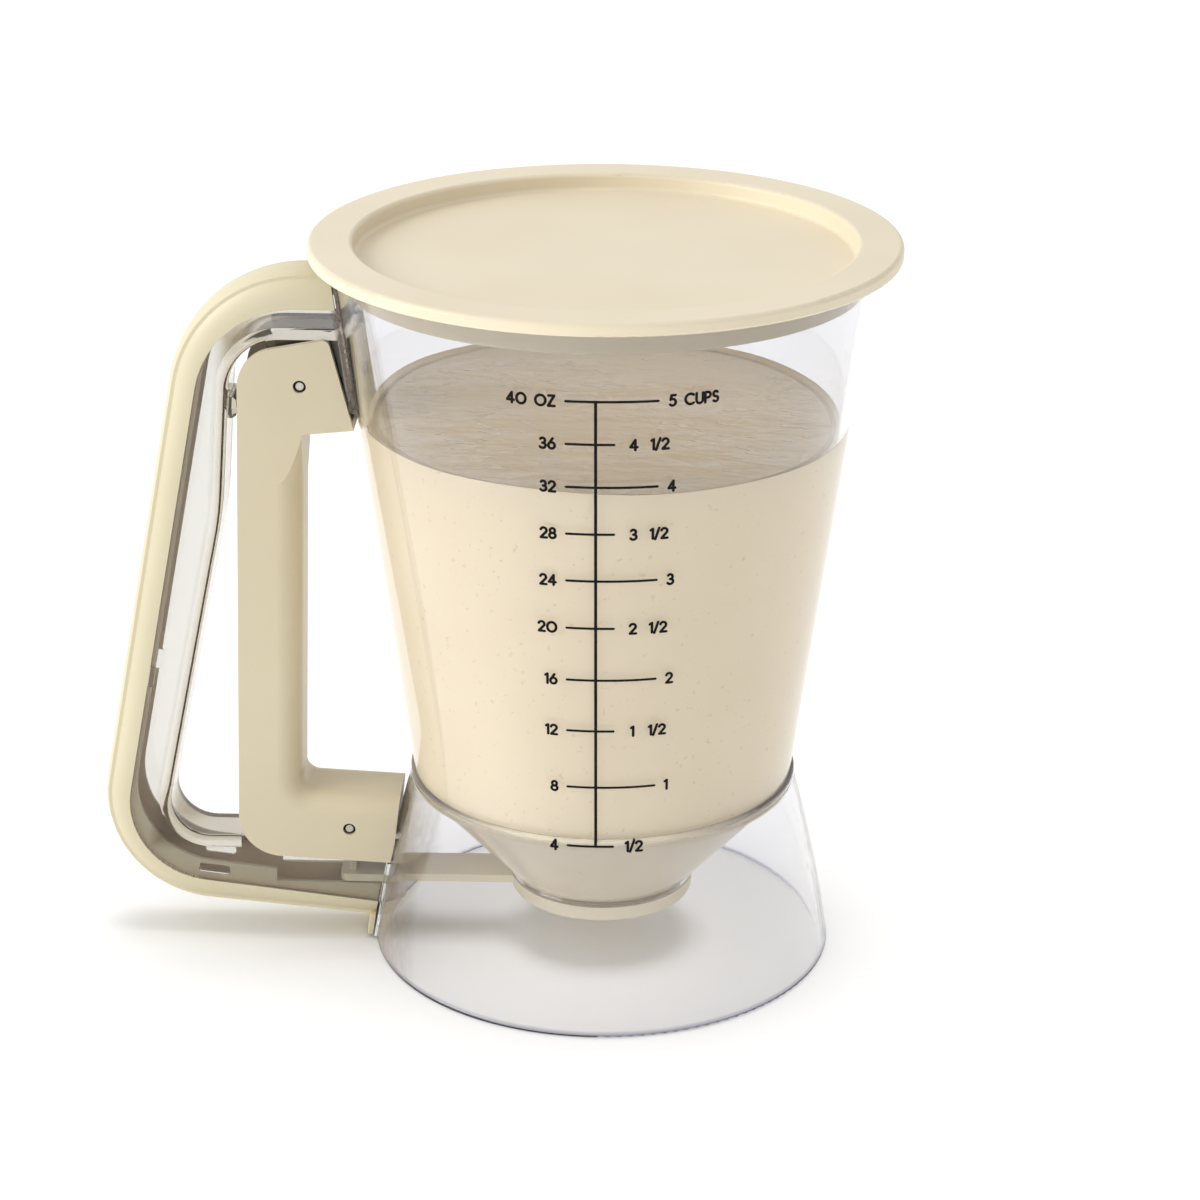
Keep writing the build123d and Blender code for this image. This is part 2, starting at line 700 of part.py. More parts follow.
def gate_lug():
    """Upright lug with a slot for the link pin, on a slim neck."""
    half = LUG_WIDTH / 2
    neck = box((LINK_X - LUG_NECK / 2, LINK_X + LUG_NECK / 2), (-half, half), (ARM_BOTTOM, LINK_Z))
    bottom = LINK_Z - PIN_RADIUS - SLOT_TRAVEL - LUG_TOP * 0.6
    top = LINK_Z + PIN_RADIUS + SLOT_TRAVEL + LUG_TOP * 0.5
    region = Pos(LINK_X, (bottom + top) / 2) * RectangleRounded(LUG_HEAD, top - bottom, LUG_HEAD * 0.3)
    head = slab(region, 0, half)
    width = 2 * (PIN_RADIUS + SLOT_PLAY)
    slot = SlotOverall(width + 2 * SLOT_TRAVEL, width, rotation=90)
    return neck + head - slab(Pos(LINK_X, LINK_Z) * slot, 0, half + BEYOND)


def gate():
    """Valve disc that covers the outlet, with the arm that pulls it."""
    disc = Pos(0, 0, GATE_TOP - GATE_THICKNESS / 2) * Cylinder(GATE_RADIUS, GATE_THICKNESS)
    disc = fillet(disc.edges().group_by(Axis.Z)[0], GATE_ROUND)
    tail = LINK_X - ARM_TAIL
    length = -tail
    plan = Pos(tail / 2, 0) * RectangleRounded(length, ARM_WIDTH, 2.0)
    arm = Pos(0, 0, ARM_BOTTOM) * extrude(plan, ARM_THICKNESS)
    return disc + arm + gate_lug()


# ---- Return spring ----

def tangent_angle(dx, dz, side):
    """Angle on the coil where the line to a point leaves it, on one side or the other."""
    return math.atan2(dz, dx) + side * math.acos(SPRING_RADIUS / math.hypot(dx, dz))


def spring_leg(start, direction, length):
    """Straight wire from an end of the coil."""
    section = Plane(origin=start, z_dir=direction) * Circle(SPRING_WIRE / 2)
    return extrude(section, length)


def return_spring():
    """Torsion spring: coil on the pivot pin, one leg in the grip, one under the seat."""
    wire = SPRING_WIRE / 2
    grip_z = PIVOT_Z - SPRING_LEG
    grip_x = meet(level(grip_z), grip_line(CHEEK_WALL))[0] - wire - SPRING_GAP
    seat_z = PIVOT_Z - SPRING_RADIUS - SPRING_WIRE - SEAT_HEIGHT - wire - SPRING_GAP
    seat_x = inside_face_x(seat_z) + SPRING_SEAT_DEPTH
    to_grip = (grip_x - PIVOT_X, grip_z - PIVOT_Z)
    to_seat = (seat_x - PIVOT_X, seat_z - PIVOT_Z)
    start = tangent_angle(*to_seat, 1)
    end = tangent_angle(*to_grip, -1)
    turns = SPRING_TURNS + ((end - start) / (2 * math.pi)) % 1
    height = turns * SPRING_PITCH
    helix = Rot(0, 0, math.degrees(start)) * Helix(SPRING_PITCH, height, SPRING_RADIUS)
    section = Plane(origin=helix @ 0, z_dir=helix % 0) * Circle(wire)
    spring = sweep(section, path=helix, is_frenet=True)
    spring += spring_leg(helix @ 0, -(helix % 0), math.sqrt(math.hypot(*to_seat) ** 2 - SPRING_RADIUS ** 2))
    spring += spring_leg(helix @ 1, helix % 1, math.sqrt(math.hypot(*to_grip) ** 2 - SPRING_RADIUS ** 2))
    return Pos(PIVOT_X, height / 2, PIVOT_Z) * Rot(90, 0, 0) * spring


# ---- Write the pieces ----

def build():
    """All pieces by node name."""
    return {
        "lid": lid(),
        "jug_body": jug_body(),
        "base_skirt": base_skirt(),
        "handle_frame": handle_frame(),
        "handle_cover": handle_cover(),
        "trigger": trigger(),
        "pivot_pin": pin(PIVOT_X, PIVOT_Z),
        "link_pin": pin(LINK_X, LINK_Z),
        "return_spring": return_spring(),
        "gate": gate(),
    }


os.makedirs("parts", exist_ok=True)
for name, shape in build().items():
    export_step(shape, "parts/" + name + ".step")
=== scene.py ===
import math
import bmesh
import bpy
from mathutils import Matrix, Vector

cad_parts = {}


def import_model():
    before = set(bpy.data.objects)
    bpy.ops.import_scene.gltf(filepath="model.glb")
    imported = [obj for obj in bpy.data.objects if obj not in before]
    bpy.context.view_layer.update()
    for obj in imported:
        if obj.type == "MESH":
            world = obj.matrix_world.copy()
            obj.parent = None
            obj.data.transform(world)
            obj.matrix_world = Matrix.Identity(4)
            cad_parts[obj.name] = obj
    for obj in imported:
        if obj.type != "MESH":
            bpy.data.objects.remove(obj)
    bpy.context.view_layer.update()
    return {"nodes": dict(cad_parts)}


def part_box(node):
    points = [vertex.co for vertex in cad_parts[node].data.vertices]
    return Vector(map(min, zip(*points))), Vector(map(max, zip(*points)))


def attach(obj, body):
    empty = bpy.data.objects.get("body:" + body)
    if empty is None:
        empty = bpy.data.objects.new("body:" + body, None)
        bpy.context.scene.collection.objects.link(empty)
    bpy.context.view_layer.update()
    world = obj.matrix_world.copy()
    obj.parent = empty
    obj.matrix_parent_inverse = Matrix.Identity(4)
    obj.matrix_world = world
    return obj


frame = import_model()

MM = 0.001


# ---- Shader helpers ----

class Value:
    """A number or colour that varies over a surface; arithmetic on it adds Math nodes."""

    def __init__(self, tree, out):
        self.tree = tree
        self.out = out

    def math(self, operation, first, second=0.0):
        return self.tree.node("Math", {"operation": operation}, {0: first, 1: second})

    def __add__(self, other):
        return self.math("ADD", self, other)

    def __sub__(self, other):
        return self.math("SUBTRACT", self, other)

    def __rsub__(self, other):
        return self.math("SUBTRACT", other, self)

    def __mul__(self, other):
        return self.math("MULTIPLY", self, other)

    def __pow__(self, other):
        return self.math("POWER", self, other)

    def __abs__(self):
        return self.math("ABSOLUTE", self)

    def at_least(self, other):
        return self.math("MAXIMUM", self, other)

    def at_most(self, other):
        return self.math("MINIMUM", self, other)

    __radd__ = __add__
    __rmul__ = __mul__

    def ramp(self, low, high, out_low=0.0, out_high=1.0, kind="LINEAR"):
        """Map low..high to out_low..out_high and hold the ends."""
        ends = {"From Min": low, "From Max": high, "To Min": out_low, "To Max": out_high}
        return self.tree.node("MapRange", {"interpolation_type": kind}, {"Value": self, **ends})


def rgba(colour):
    """A colour for a socket: a link as it is, a constant with its alpha."""
    return colour if isinstance(colour, Value) else (*colour, 1.0)


class Tree:
    """A node tree that new nodes are added to."""

    def __init__(self, tree):
        self.tree = tree

    def node(self, kind, settings, inputs, output=0):
        """Add a node of a type, with its settings and the values or links of its sockets."""
        made = self.tree.nodes.new("ShaderNode" + kind)
        for key, value in settings.items():
            setattr(made, key, value)
        for key, value in inputs.items():
            if isinstance(value, Value):
                self.tree.links.new(value.out, made.inputs[key])
            else:
                made.inputs[key].default_value = value
        return Value(self, made.outputs[output])


class Look(Tree):
    """A material with one Principled shader, patterned on Object coordinates."""

    def __init__(self, name, **fixed):
        self.mat = bpy.data.materials.new(name)
        self.mat.use_nodes = True
        super().__init__(self.mat.node_tree)
        self.shader = self.tree.nodes["Principled BSDF"]
        for key, value in fixed.items():
            self.shader.inputs[key.replace("_", " ")].default_value = value
        self.coords = self.node("TexCoord", {}, {}, "Object")

    def axis(self, name):
        """One coordinate in millimetres."""
        return self.node("SeparateXYZ", {}, {"Vector": self.coords}, name) * (1 / MM)

    def radius(self):
        """Distance from the jug's axis in millimetres."""
        return (self.axis("X") ** 2.0 + self.axis("Y") ** 2.0) ** 0.5

    def noise(self, size_mm, detail=3.0, stretch=(1, 1, 1)):
        """Noise whose features are about size_mm across."""
        place = self.node("Mapping", {}, {"Vector": self.coords, "Scale": stretch})
        per_metre = 1 / (size_mm * MM)
        return self.node("TexNoise", {}, {"Vector": place, "Scale": per_metre, "Detail": detail})

    def mix(self, factor, low, high):
        """Colour from low to high by a factor."""
        return self.node("Mix", {"data_type": "RGBA"}, {0: factor, 6: rgba(low), 7: rgba(high)}, 2)

    def put(self, key, value):
        self.tree.links.new(value.out, self.shader.inputs[key])

    def bump(self, height, depth_mm):
        self.put("Normal", self.node("Bump", {}, {"Height": height, "Distance": depth_mm * MM}))


def linear(r, g, b):
    """Linear colour from 8-bit sRGB."""
    shares = [v / 255 for v in (r, g, b)]
    return tuple(v / 12.92 if v <= 0.04045 else ((v + 0.055) / 1.055) ** 2.4 for v in shares)


# ---- Shared sizes, in millimetres ----

# The vessel's outside at its rim and at the shoulder over the funnel, and the skirt's collar under it
RIM_Z, RIM_R = 182.8, 65.85
SHOULDER_Z, SHOULDER_R = 48.9, 48.05
COLLAR_R = 48.85
WALL = 2.3
TAPER = (RIM_R - SHOULDER_R) / (RIM_Z - SHOULDER_Z)

# The inside of the funnel, down to the outlet's straight land and the gate under it
FUNNEL_TOP_R, FUNNEL_TOP_Z = 45.56, 47.5
THROAT_R, LAND_Z = 20.52, 19.3
GATE_TOP_Z = 17.75

# The handle channel's face towards the hand: a knee between two lines, the heel and the head
KNEE_X, KNEE_Z = -93.9, 117.0
LEG_LEAN, UPPER_LEAN = 0.21, 0.075
HEEL_Z, HEAD_Z = 27.8, 161.2


def wall_radius(z):
    """Outside radius of the vessel at a height."""
    return SHOULDER_R + (z - SHOULDER_Z) * TAPER


# ---- Materials ----

# Patterns on the plastics: how large they are and how deep, in millimetres
CREAM_CLOUD = 60.0
CREAM_GRAIN = 0.7
CREAM_FLOW, CREAM_FLOW_DEPTH = 2.5, 0.006
GRAIN_SPREAD = 0.02
# Reach of the painted shade inside the cover's hollow
HOLLOW_SHADE_REACH = 14.0
CLEAR_SMEAR = 14.0
CLEAR_RIPPLE, CLEAR_RIPPLE_DEPTH = 30.0, 0.03
FRAME_SPECK, SKIRT_SPECK = 1.3, 2.2
STEEL_GRAIN = 0.35

# Tones of the clear plastic, of the painted reflection and shade laid on it, and of the film where it
# is glued
VESSEL_TONE = linear(240, 240, 242)
SKIRT_TONE = linear(244, 244, 246)
FRAME_TONE = linear(238, 237, 234)
# Painted reflection of the cream pieces on the floor of the clear channel
FLOOR_REFLECTION_TONE = linear(196, 187, 170)
# Painted shade along the bottom of the skirt's foot
FOOT_SHADE_TONE = linear(150, 152, 172)
BOND_TONE = linear(124, 112, 100)
# Painted reflection of the batter on the collar's front, and painted shade on its sides
COLLAR_FRONT_REFLECTION_TONE = linear(236, 226, 202)
COLLAR_SIDE_SHADE_TONE = linear(116, 107, 101)
JOINT_TONE = linear(178, 164, 148)
FILM_ROUGHNESS = 0.6

# Where each starts and ends: the painted reflection below the channel's face, the bond off the vessel's
# wall, the painted shade up the foot, the painted shade and reflection up the collar and out to its
# sides, and the glue along the skirt's joint with the handle
FLOOR_DEPTH = (0.5, 4.0)
BOND_GAP = (0.8, 2.4)
FOOT_SHADE_LINE = (0.3, 1.2)
COLLAR_EDGE = (SHOULDER_Z - 1.6, SHOULDER_Z - 0.6)
COLLAR_SIDES = (16.0, 40.0)
JOINT_X = (-56.0, -45.0)

# The dark ring painted on a pin's end as shade at its rim: where it starts and is full, in from the
# pin's edge
RING = (0.75, 0.5)
PIN_SHADE_TONE = (0.04, 0.036, 0.03)


def cream_plastic(name, low, high, roughness, hollow_shade=None):
    """Moulded cream plastic: faint clouding, satin grain, a soft ripple, and painted shade, darker and
    warmer, inside its hollow.
    """
    look = Look(name, IOR=1.5)
    colour = look.mix(look.noise(CREAM_CLOUD, detail=2.0).ramp(0.35, 0.65), low, high)
    if hollow_shade:
        # Painted shade: where the piece's own walls close round a point, its colour turns to the
        # darker, warmer shade tone.
        settings = {"only_local": True, "samples": 8}
        open_share = look.node("AmbientOcclusion", settings, {"Distance": HOLLOW_SHADE_REACH * MM}, "AO")
        colour = look.mix(open_share.ramp(0.4, 0.95), hollow_shade, colour)
    look.put("Base Color", colour)
    grain = look.noise(CREAM_GRAIN, detail=2.0)
    look.put("Roughness", grain.ramp(0.3, 0.7, roughness - GRAIN_SPREAD, roughness + GRAIN_SPREAD))
    look.bump(look.noise(CREAM_FLOW, detail=2.0), CREAM_FLOW_DEPTH)
    return look.mat


def clear_look(name):
    """Clear plastic with a slight smear in its gloss and a slow moulding ripple."""
    look = Look(name, IOR=1.49, Transmission_Weight=1.0)
    look.put("Roughness", look.noise(CLEAR_SMEAR).ramp(0.4, 0.75, 0.0, 0.04))
    look.bump(look.noise(CLEAR_RIPPLE, detail=1.0), CLEAR_RIPPLE_DEPTH)
    return look


def clear_vessel(name):
    look = clear_look(name)
    look.shader.inputs["Base Color"].default_value = rgba(VESSEL_TONE)
    return look.mat


def cloud_over(look, mask, tone):
    """Lay a dull, cloudy film over the clear plastic where the mask is set."""
    clear = Value(look, look.shader.outputs[0])
    film = look.node("BsdfPrincipled", {}, {"Base Color": rgba(tone), "Roughness": FILM_ROUGHNESS})
    mixed = look.node("MixShader", {}, {0: mask, 1: clear, 2: film})
    look.tree.links.new(mixed.out, look.tree.nodes["Material Output"].inputs["Surface"])


def clear_frame(name):
    """Clear handle channel: a painted brown-grey reflection on its floor towards the hand, cloudy where
    it is bonded on.
    """
    look = clear_look(name)
    x, z = look.axis("X"), look.axis("Z")
    rise = z - KNEE_Z
    hand_face = (rise * LEG_LEAN).at_most(rise * UPPER_LEAN) + KNEE_X
    depth = (hand_face - x).at_least(HEEL_Z - z).at_least(z - HEAD_Z)
    # Painted reflection: the channel's floor towards the hand is tinted brown-grey, like the shaded
    # cream pieces it would show.
    look.put("Base Color", look.mix(depth.ramp(*FLOOR_DEPTH), FLOOR_REFLECTION_TONE, FRAME_TONE))
    gap = look.radius() - (z * TAPER + wall_radius(0.0))
    speck = look.noise(FRAME_SPECK, detail=2.0).ramp(0.35, 0.6, 0.45, 1.0)
    cloud_over(look, gap.ramp(*BOND_GAP, 1.0, 0.0) * speck, BOND_TONE)
    return look.mat


def clear_skirt(name):
    """Clear skirt: painted blue-grey shade at the foot, cloudy glue at the handle, and a dull film on
    the collar that is painted shade at its sides and a painted reflection of the batter at its front.
    """
    look = clear_look(name)
    # Painted shade: the foot is darkened blue-grey up to about a millimetre above the table.
    foot = look.axis("Z").ramp(*FOOT_SHADE_LINE, 1.0, 0.0)
    look.put("Base Color", look.mix(foot, SKIRT_TONE, FOOT_SHADE_TONE))
    collar = look.axis("Z").ramp(*COLLAR_EDGE)
    sides = abs(look.axis("X")).ramp(*COLLAR_SIDES)
    joint = look.axis("X").ramp(*JOINT_X, 1.0, 0.0)
    speck = look.noise(SKIRT_SPECK, detail=2.0).ramp(0.35, 0.65, 0.2, 0.38)
    # Painted shade and reflection: the collar's film is dark at its sides and batter-coloured at its
    # front.
    collar_shade_and_reflection = look.mix(sides, COLLAR_FRONT_REFLECTION_TONE, COLLAR_SIDE_SHADE_TONE)
    film = (collar * sides.ramp(0.0, 1.0, 0.6, 0.85)).at_least(joint * speck)
    cloud_over(look, film, look.mix(joint, collar_shade_and_reflection, JOINT_TONE))
    return look.mat


def steel(name, tone, roughness, pin=None):
    """Drawn steel with fine grain along Y; a pin's end has a painted ring of shade round its plain
    steel middle.
    """
    look = Look(name, Metallic=1.0)
    grain = look.noise(STEEL_GRAIN, stretch=(1, 0.2, 1)).ramp(0.3, 0.7)
    colour = look.mix(grain, tuple(v * 0.8 for v in tone), tone)
    if pin:
        low, high = (corner / MM for corner in map(Vector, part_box(pin)))
        middle = (low + high) / 2
        out = ((look.axis("X") - middle.x) ** 2.0 + (look.axis("Z") - middle.z) ** 2.0) ** 0.5
        pin_radius = (high.x - low.x) / 2
        # Painted shade: a dark ring round the rim of the pin's end.
        colour = look.mix(out.ramp(*(pin_radius - inset for inset in RING)), colour, PIN_SHADE_TONE)
    look.put("Base Color", colour)
    look.put("Roughness", grain.ramp(0.0, 1.0, roughness * 0.7, roughness * 1.3))
    return look.mat


# The lid, cover, trigger and gate are one cream plastic: their base tones differ as painted light and
# shade, lighter on the lid and darker on the trigger and cover, after how much light each gets.
LOOKS = {
    "lid": cream_plastic("cream_lid", linear(221, 208, 181), linear(226, 214, 188), 0.42),
    # The cover's inside gets painted shade, a warm brown.
    "handle_cover": cream_plastic("cream_cover", linear(209, 200, 169), linear(215, 206, 176), 0.4,
                                  hollow_shade=linear(216, 192, 156)),
    "trigger": cream_plastic("cream_trigger", linear(206, 194, 166), linear(212, 201, 173), 0.36),
    "gate": cream_plastic("cream_gate", linear(218, 207, 180), linear(224, 213, 187), 0.38),
    "jug_body": clear_vessel("clear_jug"),
    "base_skirt": clear_skirt("clear_skirt"),
    "handle_frame": clear_frame("clear_frame"),
    "pivot_pin": steel("pivot_steel", (0.6, 0.58, 0.54), 0.3, pin="pivot_pin"),
    "link_pin": steel("link_steel", (0.5, 0.48, 0.43), 0.3, pin="link_pin"),
    "return_spring": steel("spring_steel", (0.6, 0.6, 0.6), 0.22),
}

for node, look in LOOKS.items():
    for slot in frame["nodes"][node].material_slots:
        slot.material = look


# ---- Pieces of the scene ----

def piece(name, mesh, look, body):
    """Object from a mesh in millimetres, put in the scene on its body."""
    mesh.transform(Matrix.Scale(MM, 4))
    mesh.materials.append(look)
    obj = bpy.data.objects.new(name, mesh)
    bpy.context.scene.collection.objects.link(obj)
    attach(obj, body)
    return obj


# ---- Batter ----

# The level, how far it climbs where it wets the wall, and how far the batter reaches into the wall
BATTER_TOP = 142.0
BATTER_R = wall_radius(BATTER_TOP) - WALL
EDGE_RISE = 0.9
BITE = 0.15
BATTER_SEGMENTS = 256
WALL_STEPS = 24
MERGE = 0.001
SHARP_ANGLE = math.radians(40)

# Chamfers (in, up) on the gate and at the funnel's top, where the straight wall starts, and the
# climb at the edge of the level: (in from the wall, above the level)
GATE_EDGE = (1.0, 0.65)
FUNNEL_EDGE = (1.2, 1.35)
FUNNEL_LIFT = 0.2
WALL_FOOT_Z = 50.0
CLIMB = ((0.5, 0.35), (1.4, 0.08), (3.0, 0.0))
TOP_RINGS = (0.8, 0.6, 0.4, 0.2, 0.0)

# The level's slope along X and Y, its waves round the wall (count, height, phase), and the depth
# over which both fade out
BATTER_TILT = (-0.017, 0.02)
WAVES = ((3, 0.28, 0.6), (7, 0.2, 1.9))
LEVEL_FADE = 12.0

# Patterns in the batter, in millimetres
BATTER_CLOUD = 30.0
FLECK = 1.5
BUBBLE = 2.6
RIPPLE, RIPPLE_DEPTH = 11.0, 2.0
TOP_EDGE = (BATTER_R - 2.6, BATTER_R - 1.2)
TOP_BAND = (BATTER_TOP - 4.0, BATTER_TOP - 3.0)


def batter_look():
    """Thin pancake batter: clouded cream with tiny flecks, and ripples and bubbles on its level top,
    the bubbles lightened as painted highlights.
    """
    look = Look("batter", IOR=1.42)
    cloud = look.noise(BATTER_CLOUD).ramp(0.3, 0.7)
    fleck = look.noise(FLECK, detail=1.0).ramp(0.68, 0.76)
    on_top = look.axis("Z").ramp(*TOP_BAND) * look.radius().ramp(*TOP_EDGE, 1.0, 0.0)
    bubble_and_glint = look.noise(BUBBLE, detail=1.0, stretch=(0.5, 1.0, 0.3)).ramp(0.63, 0.70)
    base = look.mix(cloud, linear(246, 233, 207), linear(249, 237, 212))
    body = look.mix(fleck * 0.4, base, linear(214, 198, 166))
    # Painted highlights: the bubbles on the top are lightened towards white.
    look.put("Base Color", look.mix(bubble_and_glint * on_top * 0.5, body, linear(255, 252, 244)))
    look.put("Roughness", cloud.ramp(0.0, 1.0, 0.3, 0.5) - on_top * 0.12)
    ripple = look.noise(RIPPLE, stretch=(0.55, 1.0, 0.2))
    look.bump((ripple + bubble_and_glint * 0.12) * on_top, RIPPLE_DEPTH)
    return look.mat


def batter_profile():
    """(radius, height) points from the outlet up the funnel and wall and back over the top."""
    points = [(0, GATE_TOP_Z), (THROAT_R - GATE_EDGE[0], GATE_TOP_Z)]
    points += [(THROAT_R + BITE, GATE_TOP_Z + GATE_EDGE[1]), (THROAT_R + BITE, LAND_Z)]
    points += [(FUNNEL_TOP_R - FUNNEL_EDGE[0] + BITE, FUNNEL_TOP_Z - FUNNEL_EDGE[1])]
    points += [(FUNNEL_TOP_R + BITE, FUNNEL_TOP_Z + FUNNEL_LIFT)]
    for i in range(1, WALL_STEPS + 1):
        z = WALL_FOOT_Z + (BATTER_TOP + EDGE_RISE - WALL_FOOT_Z) * i / WALL_STEPS
        points.append((wall_radius(z) - WALL + BITE, z))
    points += [(BATTER_R - inset, BATTER_TOP + rise) for inset, rise in CLIMB]
    return points + [(BATTER_R * share, BATTER_TOP) for share in TOP_RINGS]


def level_shift(x, y, z):
    """How far the top is lifted: a slight tilt, and small waves that grow towards the wall."""
    share = min(1.0, max(0.0, (z - BATTER_TOP + LEVEL_FADE) / LEVEL_FADE))
    turn = math.atan2(y, x)
    wave = sum(height * math.sin(count * turn + phase) for count, height, phase in WAVES)
    tilt = BATTER_TILT[0] * x + BATTER_TILT[1] * y
    return share * (tilt + wave * (math.hypot(x, y) / RIM_R) ** 2)


def batter():
    """Batter that fills the funnel and vessel, with a raised edge where it wets the wall."""
    mesh = bpy.data.meshes.new("batter_fill")
    bm = bmesh.new()
    line = [bm.verts.new((radius, 0, z)) for radius, z in batter_profile()]
    line += [bm.edges.new(pair) for pair in zip(line, line[1:])]
    bmesh.ops.spin(bm, geom=line, cent=(0, 0, 0), axis=(0, 0, 1), angle=2 * math.pi,
                   steps=BATTER_SEGMENTS, use_merge=True)
    bmesh.ops.remove_doubles(bm, verts=bm.verts, dist=MERGE)
    for point in bm.verts:
        point.co.z += level_shift(*point.co)
    bmesh.ops.recalc_face_normals(bm, faces=bm.faces)
    bm.to_mesh(mesh)
    bm.free()
    mesh.shade_smooth()
    mesh.set_sharp_from_angle(angle=SHARP_ANGLE)
    return piece("batter_fill", mesh, batter_look(), "dispenser")


# ---- Printed scale ----

# Heights of the marks, the highest first; the last is on the collar
SCALE_Z = (165.41, 154.77, 143.94, 131.94, 119.73, 107.23, 93.27, 79.36, 63.65, 47.36)

# Distances s along the wall from its front: the stem, the ticks' ends, where the ounces end and
# where the cups start, and the middles of a half mark's whole number and of its 1/2
STEM_S = -0.1
TICK_LEFT = -6.9
LONG_TICK, SHORT_TICK = 14.1, 4.1
OUNCES_S, CUPS_S = -9.4, 16.7
WHOLE_S, HALF_S, LAST_HALF_S = 8.6, 14.6, 9.2

# Widths of the lines, height and pen of the letters, and gaps in shares of that height
LINE_W = 0.72
TICK_W = 0.62
LETTER_H = 2.55
LETTER_RISE = -0.1
LETTER_GAP, HALF_GAP = 0.24, 0.2
PEN = 0.66
DOT_SEGMENTS = 10
PRINT_LIFT = 0.04
BAR_LENGTH = 1.2


def arc(cx, cy, rx, ry, start, end, steps=20):
    """Points on an ellipse's arc, angles in degrees."""
    turns = [math.radians(start + (end - start) * i / steps) for i in range(steps + 1)]
    return [(cx + rx * math.cos(a), cy + ry * math.sin(a)) for a in turns]


# Strokes of each letter, one unit high, and its width
GLYPHS = {
    "0": ([arc(0.42, 0.5, 0.42, 0.5, 0, 360)], 0.84),
    "O": ([arc(0.46, 0.5, 0.46, 0.5, 0, 360)], 0.92),
    "1": ([[(0.0, 0.86), (0.2, 1.0), (0.2, 0.0)]], 0.22),
    "2": ([arc(0.28, 0.72, 0.27, 0.28, 165, -30, 12) + [(0.02, 0.0), (0.58, 0.0)]], 0.58),
    "3": ([arc(0.26, 0.75, 0.23, 0.25, 150, -90, 12), arc(0.26, 0.26, 0.28, 0.26, 90, -150, 14)], 0.54),
    "4": ([[(0.62, 0.28), (0.0, 0.28), (0.44, 1.0), (0.44, 0.0)]], 0.64),
    "5": ([[(0.52, 1.0), (0.16, 1.0), (0.08, 0.56)]
           + arc(0.26, 0.32, 0.29, 0.32, 110, -140, 14)], 0.56),
    "6": ([[(0.4, 1.0), (0.07, 0.46)], arc(0.3, 0.31, 0.29, 0.31, 0, 360)], 0.6),
    "8": ([arc(0.28, 0.75, 0.22, 0.25, 0, 360), arc(0.28, 0.26, 0.28, 0.26, 0, 360)], 0.56),
    "/": ([[(0.0, -0.06), (0.36, 1.06)]], 0.36),
    "Z": ([[(0.04, 1.0), (0.56, 1.0), (0.0, 0.0), (0.58, 0.0)]], 0.58),
    "C": ([arc(0.46, 0.5, 0.46, 0.5, 50, 310)], 0.78),
    "U": ([[(0.0, 1.0), (0.0, 0.34)] + arc(0.3, 0.34, 0.3, 0.34, 180, 360, 12) + [(0.6, 1.0)]], 0.6),
    "P": ([[(0.0, 0.0), (0.0, 1.0), (0.22, 1.0)] + arc(0.22, 0.73, 0.27, 0.27, 90, -90, 12)
           + [(0.0, 0.46)]], 0.5),
    "S": ([arc(0.25, 0.75, 0.22, 0.25, 40, 270, 12) + arc(0.25, 0.25, 0.24, 0.25, 90, -140, 14)], 0.5),
    " ": ([], 0.42),
}
OUNCES = ("40 OZ", "36", "32", "28", "24", "20", "16", "12", "8", "4")
CUPS = ("5 CUPS", "4", "4", "3", "3", "2", "2", "1", "1", "")


def word(text, s, t, align, gap=LETTER_GAP):
    """Strokes of a word in print coordinates: s along the wall, t up it."""
    width = sum(GLYPHS[c][1] for c in text) + gap * (len(text) - 1)
    x = {"left": 0.0, "right": -width, "middle": -width / 2}[align]
    strokes = []
    for c in text:
        for stroke in GLYPHS[c][0]:
            points = [(s + (x + px) * LETTER_H, t + (py - 0.5) * LETTER_H) for px, py in stroke]
            strokes.append((points, PEN))
        x += GLYPHS[c][1] + gap
    return strokes


def scale_strokes():
    """All strokes of the scale: the stem, a tick at each mark, and the numbers beside it."""
    strokes = [([(STEM_S, SCALE_Z[-1]), (STEM_S, SCALE_Z[0])], LINE_W)]
    last = len(SCALE_Z) - 1
    for i, z in enumerate(SCALE_Z):
        whole = i % 2 == 0
        text_z = z + LETTER_RISE
        strokes.append(([(TICK_LEFT, z), (LONG_TICK if whole else SHORT_TICK, z)], TICK_W))
        strokes += word(OUNCES[i], OUNCES_S, text_z, "right")
        if whole:
            strokes += word(CUPS[i], CUPS_S, text_z, "left")
        else:
            half_s = LAST_HALF_S if i == last else HALF_S
            strokes += word(CUPS[i], WHOLE_S, text_z, "middle")
            strokes += word("1/2", half_s, text_z, "middle", gap=HALF_GAP)
    return strokes


def dense(points, step):
    """The same line of points with no stretch longer than step."""
    made = [points[0]]
    for a, b in zip(points, points[1:]):
        n = math.ceil(math.dist(a, b) / step - 1e-6)
        made += [(a[0] + (b[0] - a[0]) * i / n, a[1] + (b[1] - a[1]) * i / n) for i in range(1, n + 1)]
    return made


def on_wall(s, z):
    """Place of a print point on the vessel, or on the collar's bead below the shoulder."""
    radius = wall_radius(z) if z > SHOULDER_Z else COLLAR_R
    angle = s / radius - math.pi / 2
    return ((radius + PRINT_LIFT) * math.cos(angle), (radius + PRINT_LIFT) * math.sin(angle), z)


